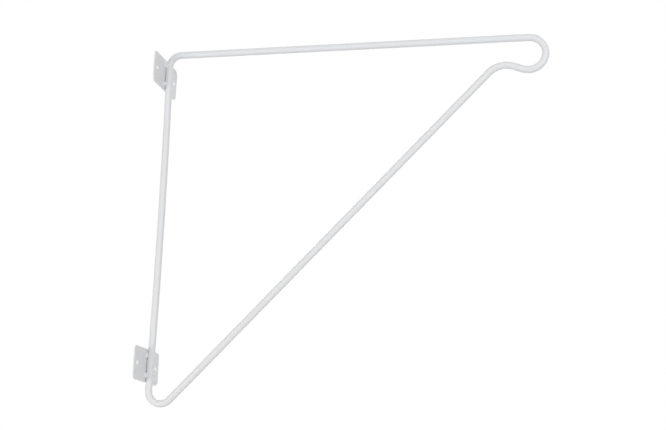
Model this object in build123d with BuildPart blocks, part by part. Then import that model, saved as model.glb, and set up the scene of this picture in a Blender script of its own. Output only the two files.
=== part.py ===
from build123d import *
from math import asin, atan, atan2, degrees, hypot
import os

# Closet rod bracket: one round wire bent to a closed triangular loop, resistance-welded to two
# small wall plates. The wall is the plane X = 0 and X points into the room, Y runs along the
# wall and Z is up. The origin lies on the wall, midway between the two screws of the upper plate.

# Driving dimensions of the wire, in millimetres and degrees (its bend radii are to its axis)
wire_diameter = 7
arm_reach = 385  # axis of the wall leg, at its ends, to the front of the rod hook
arm_height = 21.3  # upper screws to the axis of the arm
loop_height = 355.8  # axis of the arm to the lowest point of the axis in the lower bend
rod_space = 26  # inside diameter of the hook, for a 25.4 mm rod
dip_run = 9.7  # straight wire from the hook towards the wall
dip_angle = 19.7  # its rise towards the wall
hump_radius = 22.2  # reverse bend that keeps the rod from rolling back
corner_radius = 11.9
bend_radius = 12.5
leg_bow = 1.5  # the welded leg bows this far away from the wall between its plates

# Driving dimensions of the wall plates
sheet = 1.2
plate_width = 66
plate_height = 32.5
plate_corner = 5.5
plate_edge = 0.3  # the coating softens the sheared edges
plate_spacing = 298  # upper screws to lower screws
screw_spacing = 49.8
screw_hole = 5

# Driving dimensions of the weld seats, the raised spots of a plate that the leg is welded to
weld_gap = 0.2  # the ends of the leg stand this far off the plates
weld_place = 9.75  # this far above and below the screws
seat_width = 11
seat_height = 5
top_seat_height = 8.5  # the uppermost weld is longer, and runs on towards the top edge of its plate
seat_rise = 1.7  # how far a seat reaches up round the back of the wire
seat_slope = 45

# Places worked out from the driving dimensions
wire_radius = wire_diameter / 2
leg_x = sheet + weld_gap + wire_radius
hook_radius = rod_space / 2 + wire_radius
hook_x = leg_x + arm_reach - wire_radius - hook_radius
corner_x = leg_x + corner_radius
corner_z = arm_height - corner_radius
bend_x = leg_x + bend_radius
bend_z = arm_height - loop_height + bend_radius

# The leg is a slight arc, so the bends at its two ends turn a little past a right angle
leg_chord = loop_height - bend_radius - corner_radius
leg_turn = degrees(2 * atan(2 * leg_bow / leg_chord))

# Wire frame: arm, rod hook, dip, hump, brace, lower bend, wall leg and corner, in one closed round
with BuildPart() as wire_frame:
    with BuildLine(Plane.XZ):
        Line((corner_x, arm_height), (hook_x, arm_height))
        hook = CenterArc((hook_x, arm_height - hook_radius), hook_radius, 90, -180 - dip_angle)
        dip = PolarLine(hook @ 1, dip_run, 180 - dip_angle)

        # The brace is the tangent that crosses over from the hump's circle to the lower bend's
        hump_centre = PolarLine(dip @ 1, hump_radius, 270 - dip_angle, mode=Mode.PRIVATE) @ 1
        run = hump_centre.X - bend_x
        rise = hump_centre.Z - bend_z
        crossing = asin((hump_radius + bend_radius) / hypot(run, rise))
        brace_angle = degrees(atan2(rise, run) + crossing)

        hump = JernArc(dip @ 1, dip % 1, hump_radius, brace_angle + dip_angle)
        bend = CenterArc((bend_x, bend_z), bend_radius, brace_angle - 90, -90 - brace_angle - leg_turn)
        Line(hump @ 1, bend @ 0)
        corner = CenterArc((corner_x, corner_z), corner_radius, 180 + leg_turn, -90 - leg_turn)
        leg = TangentArc(bend @ 1, corner @ 0, tangent=bend % 1)
    with BuildSketch(Plane(origin=leg @ 0.5, z_dir=leg % 0.5)):
        Circle(wire_radius)
    sweep()

# Wall plates: punched flats with a screw hole each side of the leg and two weld seats behind it
plate_z = {"upper_wall_plate": 0, "lower_wall_plate": -plate_spacing}
wall_plates = {}
for name, height in plate_z.items():
    with BuildPart() as plate:
        with BuildSketch(Plane.YZ):
            with Locations((0, height)):
                RectangleRounded(plate_width, plate_height, plate_corner)
                with GridLocations(screw_spacing, 0, 2, 1):
                    Circle(screw_hole / 2, mode=Mode.SUBTRACT)
        extrude(amount=sheet)
        rims = plate.faces().sort_by(Axis.X)
        chamfer([edge for rim in (rims[0], rims[-1]) for edge in rim.outer_wire().edges()], plate_edge)

        top_height = top_seat_height if name == "upper_wall_plate" else seat_height
        top_place = weld_place + (top_height - seat_height) / 2
        with BuildSketch(Plane.YZ.offset(sheet)):
            with Locations((0, height + top_place)):
                SlotOverall(seat_width, top_height)
            with Locations((0, height - weld_place)):
                SlotOverall(seat_width, seat_height)
        extrude(amount=seat_rise, taper=seat_slope)
        add(wire_frame.part, mode=Mode.SUBTRACT)
    wall_plates[name] = plate.part

# Finished pieces, one file each
pieces = {"wire_frame": wire_frame.part, **wall_plates}
os.makedirs("parts", exist_ok=True)
for name, piece in pieces.items():
    piece.label = name
    export_step(piece, f"parts/{name}.step")
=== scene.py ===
from math import cos, exp, radians, sin

import bmesh
import bpy
from mathutils import Matrix, Vector


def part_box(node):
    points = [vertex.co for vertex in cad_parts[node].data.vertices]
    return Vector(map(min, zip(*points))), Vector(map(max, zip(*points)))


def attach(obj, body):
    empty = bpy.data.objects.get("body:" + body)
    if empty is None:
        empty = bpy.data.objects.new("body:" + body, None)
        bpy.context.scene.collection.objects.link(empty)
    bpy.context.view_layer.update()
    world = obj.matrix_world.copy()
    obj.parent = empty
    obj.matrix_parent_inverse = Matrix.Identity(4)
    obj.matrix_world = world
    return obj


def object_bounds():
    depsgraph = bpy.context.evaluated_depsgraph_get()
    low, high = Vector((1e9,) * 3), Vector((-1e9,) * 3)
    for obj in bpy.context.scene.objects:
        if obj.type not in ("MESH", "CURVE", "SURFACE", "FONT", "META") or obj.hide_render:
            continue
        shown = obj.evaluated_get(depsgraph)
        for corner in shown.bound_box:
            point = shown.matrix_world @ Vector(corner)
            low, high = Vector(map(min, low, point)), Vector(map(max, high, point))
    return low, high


# The closet rod bracket under its white powder coat, in soft studio light. Metres, in the part's own
# frame: the wall is X = 0, X points into the room, Y runs along the wall and Z is up.
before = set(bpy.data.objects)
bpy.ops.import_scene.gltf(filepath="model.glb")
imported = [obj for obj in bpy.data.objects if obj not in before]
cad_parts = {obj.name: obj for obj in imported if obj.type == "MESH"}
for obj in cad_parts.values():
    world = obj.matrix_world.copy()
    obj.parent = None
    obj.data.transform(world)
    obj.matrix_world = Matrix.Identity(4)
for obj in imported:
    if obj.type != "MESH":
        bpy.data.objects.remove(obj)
cad_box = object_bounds()

MM = 0.001
WHITE = (1, 1, 1, 1)

# Camera: beside the bracket and below it, looking up at the middle of the wire loop
AIM = Vector((181.64, 0, -151.48)) * MM
DISTANCE = 1214.9 * MM
HEADING = radians(12.742)  # from along the wall towards the wall
TILT = radians(13.931)  # upwards
ROLL = radians(1.796)
SENSOR_WIDTH = 36  # this and the lens in millimetres
LENS = 67.907
NEAREST_SEEN = 0.05
FARTHEST_SEEN = 50

# Light: large soft lamps in an even pale surround. A lamp's side is in degrees round the
# bracket, 0 square on to the wire loop and 90 straight out from the wall; its height is in degrees too.
LAMP_DISTANCE = 2.2
LAMP_SIZE = 1.2
LAMPS = {  # side, height, power in watts
    "left": (-35, -12, 11.4),
    "right": (37, 14, 14.8),
    "back": (-167, 14, 11),
}
SURROUND = 0.45

FLOOR_DROP = 1.1  # from the foot of the bracket to the floor
FLOOR_SIZE = 12
FLOOR_COLOUR = (0.9, 0.9, 0.9, 1)
FLOOR_ROUGHNESS = 0.9
FLOOR_GLOW = 0.38  # near the bracket; far out the floor is as white as the surround
FLOOR_FADE = (1.5, 3)  # from the bracket's origin: where the glow starts to grow, and where it is full

# Powder coat: each change goes both ways, and the spots and the bumps' depths are real sizes
COAT_COLOUR = (0.854, 0.864, 0.883)
COAT_SPECULAR = 0.5
COLOUR_CHANGE = 0.015  # as a share of the colour
COLOUR_SPOTS = 18 * MM
COAT_ROUGHNESS = 0.42
ROUGHNESS_CHANGE = 0.06
ROUGHNESS_SPOTS = 4 * MM
PEEL_SPOTS = 2 * MM
PEEL_DEPTH = 0.6 * MM
PEEL_STRENGTH = 0.5
GRAIN_SPOTS = 0.35 * MM
GRAIN_DEPTH = 0.06 * MM
GRAIN_STRENGTH = 0.4

# Weld beads, in millimetres. Each lies between a plate and the wall leg and swells out at both sides of
# the wire, over the part's own plain seats.
SHEET = 1.2  # from the wall to the front of a plate
WELD_RISE = 2.15  # full height over the plate
WELD_HALF_WIDTH = 3  # of the stretch at full height, across the wire
WELD_RUN_ACROSS = 1.9  # how gently it runs out past that stretch, across the wire and along it
WELD_RUN_ALONG = 1.2
WELD_SKIRT = 1.65  # along the wire it ends at this many run-outs
WELD_FLARE = 1.4  # across the wire it ends at this many times as many
WELD_PLACE = 9.75  # over and under the middle of the plate
WELD_HALF_LENGTH = 1.3  # of the stretch at full height, along the wire
TOP_WELD_PLACE = 11.5  # the uppermost weld is longer, and runs on towards the top edge of its plate
TOP_WELD_HALF_LENGTH = 2.6
WELDS = {
    "upper_wall_plate": {
        "upper": (TOP_WELD_PLACE, TOP_WELD_HALF_LENGTH),
        "lower": (-WELD_PLACE, WELD_HALF_LENGTH),
    },
    "lower_wall_plate": {
        "upper": (WELD_PLACE, WELD_HALF_LENGTH),
        "lower": (-WELD_PLACE, WELD_HALF_LENGTH),
    },
}
BEAD_SEGMENTS = 64
BEAD_RINGS = 48
BEAD_EQUATOR = 0.001  # on a ball of radius 1: what lies above is the bead's outside, the rest its base


def add_object(name, data):
    """A new object of the scene."""
    thing = bpy.data.objects.new(name, data)
    bpy.context.scene.collection.objects.link(thing)
    return thing


def node_material(name):
    """A new material, its node tree and its shader."""
    material = bpy.data.materials.new(name)
    material.use_nodes = True
    return material, material.node_tree, material.node_tree.nodes["Principled BSDF"]


def mix_float(tree, factor, low, high):
    """A value that runs from low to high with the factor."""
    node = tree.nodes.new("ShaderNodeMapRange")
    node.inputs["To Min"].default_value = low
    node.inputs["To Max"].default_value = high
    tree.links.new(factor, node.inputs["Value"])
    return node.outputs["Result"]


def noise(tree, size, detail=2.0):
    """Noise with spots of about that size, in metres, fixed to the object."""
    place = tree.nodes.new("ShaderNodeTexCoord")
    node = tree.nodes.new("ShaderNodeTexNoise")
    node.inputs["Scale"].default_value = 1 / size
    node.inputs["Detail"].default_value = detail
    tree.links.new(place.outputs["Object"], node.inputs["Vector"])
    return node.outputs["Fac"]


def bump(tree, spots, depth, strength, under=None):
    """Soft bumps with spots of about that size, on top of the bumps under them."""
    node = tree.nodes.new("ShaderNodeBump")
    node.inputs["Distance"].default_value = depth
    node.inputs["Strength"].default_value = strength
    tree.links.new(noise(tree, spots, detail=1.0), node.inputs["Height"])
    if under:
        tree.links.new(under, node.inputs["Normal"])
    return node.outputs["Normal"]


def powder_coat(name):
    """Satin white powder coat: the soft orange peel of the melted powder, with a finer grain on it."""
    material, tree, shader = node_material(name)
    shader.inputs["Specular IOR Level"].default_value = COAT_SPECULAR

    colour = tree.nodes.new("ShaderNodeMix")
    colour.data_type = "RGBA"
    colour.inputs["A"].default_value = tuple((1 - COLOUR_CHANGE) * c for c in COAT_COLOUR) + (1,)
    colour.inputs["B"].default_value = tuple((1 + COLOUR_CHANGE) * c for c in COAT_COLOUR) + (1,)
    tree.links.new(noise(tree, COLOUR_SPOTS), colour.inputs["Factor"])
    tree.links.new(colour.outputs["Result"], shader.inputs["Base Color"])

    glossiest = COAT_ROUGHNESS - ROUGHNESS_CHANGE
    dullest = COAT_ROUGHNESS + ROUGHNESS_CHANGE
    roughness = mix_float(tree, noise(tree, ROUGHNESS_SPOTS), glossiest, dullest)
    tree.links.new(roughness, shader.inputs["Roughness"])

    peel = bump(tree, PEEL_SPOTS, PEEL_DEPTH, PEEL_STRENGTH)
    grain = bump(tree, GRAIN_SPOTS, GRAIN_DEPTH, GRAIN_STRENGTH, under=peel)
    tree.links.new(grain, shader.inputs["Normal"])
    return material


def weld_bead(name, middle, half_length, coat):
    """A soft closed bead of weld metal under its coat, from inside the plate up to the wire."""
    bead = bmesh.new()
    bmesh.ops.create_uvsphere(bead, u_segments=BEAD_SEGMENTS, v_segments=BEAD_RINGS, radius=1)
    for point in bead.verts:
        across = point.co.x * (WELD_HALF_WIDTH + WELD_FLARE * WELD_SKIRT * WELD_RUN_ACROSS)
        along = point.co.y * (half_length + WELD_SKIRT * WELD_RUN_ALONG)
        past_wire = max(abs(across) - WELD_HALF_WIDTH, 0) / WELD_RUN_ACROSS
        past_end = max(abs(along) - half_length, 0) / WELD_RUN_ALONG
        swell = WELD_RISE * exp(-past_wire ** 2 - past_end ** 2)
        out = SHEET + swell if point.co.z > BEAD_EQUATOR else SHEET / 2
        point.co = Vector((out, across, middle + along)) * MM
    bmesh.ops.recalc_face_normals(bead, faces=bead.faces)
    for face in bead.faces:
        face.smooth = True
    mesh = bpy.data.meshes.new(name)
    bead.to_mesh(mesh)
    bead.free()
    mesh.materials.append(coat)
    piece = add_object(name, mesh)
    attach(piece, "root")


def camera():
    """The camera of the scene, turned first and then set back from the place that it looks at."""
    turn = Matrix.Rotation(HEADING, 4, "Z") @ Matrix.Rotation(radians(90) + TILT, 4, "X")
    turn = turn @ Matrix.Rotation(ROLL, 4, "Z")
    eye = add_object("camera", bpy.data.cameras.new("camera"))
    eye.matrix_world = Matrix.Translation(AIM + turn @ Vector((0, 0, DISTANCE))) @ turn
    eye.data.sensor_width = SENSOR_WIDTH
    eye.data.lens = LENS
    eye.data.clip_start = NEAREST_SEEN
    eye.data.clip_end = FARTHEST_SEEN
    bpy.context.scene.camera = eye


def lamp(name, side, height, power):
    """A square soft lamp that faces the middle of the bracket."""
    light = bpy.data.lights.new(name, "AREA")
    light.shape = "SQUARE"
    light.size = LAMP_SIZE
    light.energy = power
    side = radians(side)
    height = radians(height)
    toward = Vector((sin(side) * cos(height), -cos(side) * cos(height), sin(height)))
    holder = add_object(name, light)
    holder.visible_camera = False
    holder.location = AIM + toward * LAMP_DISTANCE
    holder.rotation_euler = toward.to_track_quat("Z", "Y").to_euler()


def seen(tree):
    """1 for a ray from the camera, or by way of gloss or glass, and 0 for the light itself."""
    ray = tree.nodes.new("ShaderNodeLightPath")
    value = ray.outputs["Is Camera Ray"]
    for kind in ("Is Glossy Ray", "Is Transmission Ray"):
        either = tree.nodes.new("ShaderNodeMath")
        either.operation = "MAXIMUM"
        tree.links.new(value, either.inputs[0])
        tree.links.new(ray.outputs[kind], either.inputs[1])
        value = either.outputs["Value"]
    return value


def surround():
    """An even pale surround that lights the bracket, and is plain white where it is seen."""
    world = bpy.data.worlds.new("surround")
    world.use_nodes = True
    bpy.context.scene.world = world
    tree = world.node_tree
    background = tree.nodes["Background"]
    background.inputs["Color"].default_value = WHITE
    tree.links.new(mix_float(tree, seen(tree), SURROUND, 1), background.inputs["Strength"])


def floor(height):
    """A plain pale floor that keeps the bracket's soft shadow and fades to white far out."""
    half = FLOOR_SIZE / 2
    corners = [(-half, -half, height), (half, -half, height), (half, half, height), (-half, half, height)]
    mesh = bpy.data.meshes.new("floor")
    mesh.from_pydata(corners, [], [(0, 1, 2, 3)])
    ground = add_object("floor", mesh)
    material, tree, shader = node_material("floor")
    shader.inputs["Base Color"].default_value = FLOOR_COLOUR
    shader.inputs["Roughness"].default_value = FLOOR_ROUGHNESS

    place = tree.nodes.new("ShaderNodeTexCoord")
    reach = tree.nodes.new("ShaderNodeVectorMath")
    reach.operation = "LENGTH"
    tree.links.new(place.outputs["Object"], reach.inputs[0])
    glow = tree.nodes.new("ShaderNodeMapRange")
    glow.interpolation_type = "SMOOTHSTEP"
    glow.inputs["From Min"].default_value = FLOOR_FADE[0]
    glow.inputs["From Max"].default_value = FLOOR_FADE[1]
    glow.inputs["To Min"].default_value = FLOOR_GLOW
    tree.links.new(reach.outputs["Value"], glow.inputs["Value"])
    strength = tree.nodes.new("ShaderNodeMath")
    strength.operation = "MULTIPLY"
    tree.links.new(glow.outputs["Result"], strength.inputs[0])
    tree.links.new(seen(tree), strength.inputs[1])
    shader.inputs["Emission Color"].default_value = WHITE
    tree.links.new(strength.outputs["Value"], shader.inputs["Emission Strength"])
    mesh.materials.append(material)


coat = powder_coat("white_powder_coat")
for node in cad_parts.values():
    node.data.materials[0] = coat

for plate, beads in WELDS.items():
    low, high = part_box(plate)
    plate_middle = (low.z + high.z) / 2 / MM
    for place, (height, half_length) in beads.items():
        weld_bead(f"{plate}_{place}_weld", plate_middle + height, half_length, coat)

camera()
for name, (side, height, power) in LAMPS.items():
    lamp(name, side, height, power)
surround()
floor(cad_box[0].z - FLOOR_DROP)
bpy.context.scene.view_settings.view_transform = "Standard"
